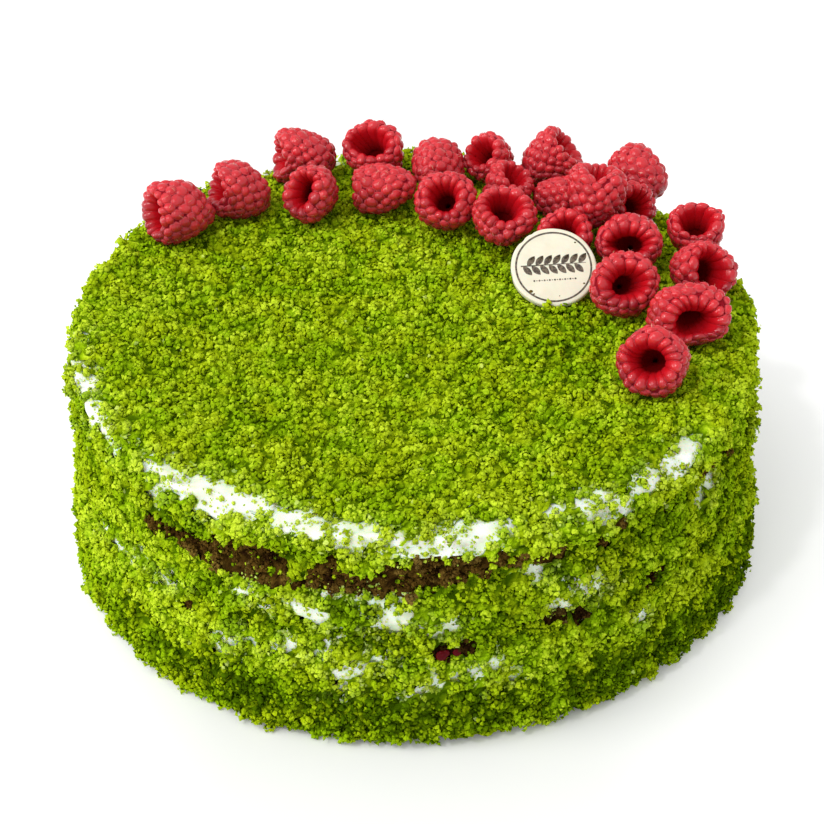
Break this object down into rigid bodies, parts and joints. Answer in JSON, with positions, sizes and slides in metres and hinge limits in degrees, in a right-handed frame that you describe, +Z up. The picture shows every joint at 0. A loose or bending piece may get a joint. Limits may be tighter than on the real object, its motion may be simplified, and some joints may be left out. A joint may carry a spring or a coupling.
{
  "type": "round layer cake",
  "caption": "Round spinach layer cake: sponge and cream layers in a coat of green crumbs, topped with a crescent of raspberries and a white chocolate disc.",
  "frame": {"origin": "centre of the cake's flat base, at the height of the surface it stands on", "axes": "+Z up through the cake's layers, -Y towards the side that the picture shows, +X to its right"},
  "size_m": [0.2058, 0.2016, 0.1011],
  "materials": {
    "sponge": "open brown crumb, matt",
    "cream": "smooth whipped cream, slightly moist",
    "crumbs": "coarse bright green cake crumbs, matt",
    "raspberry": "fresh red fruit with a soft bloom",
    "white_chocolate": "ivory white chocolate, satin"
  },
  "bodies": {
    "root": {"base_sponge": "sponge", "lower_cream": "cream", "middle_sponge": "sponge", "middle_cream": "cream", "top_sponge": "sponge", "top_cream": "cream", "crumb_coat": "crumbs", "raspberry_01": "raspberry", "raspberry_02": "raspberry", "raspberry_03": "raspberry", "raspberry_04": "raspberry", "raspberry_05": "raspberry", "raspberry_06": "raspberry", "raspberry_07": "raspberry", "raspberry_08": "raspberry", "raspberry_09": "raspberry", "raspberry_10": "raspberry", "raspberry_11": "raspberry", "raspberry_12": "raspberry", "raspberry_13": "raspberry", "raspberry_14": "raspberry", "raspberry_15": "raspberry", "raspberry_16": "raspberry", "raspberry_17": "raspberry", "raspberry_18": "raspberry", "raspberry_19": "raspberry", "raspberry_20": "raspberry", "raspberry_21": "raspberry", "raspberry_22": "raspberry", "raspberry_23": "raspberry", "filling_raspberry": "raspberry", "chocolate_disc": "white_chocolate"}
  },
  "joints": []
}
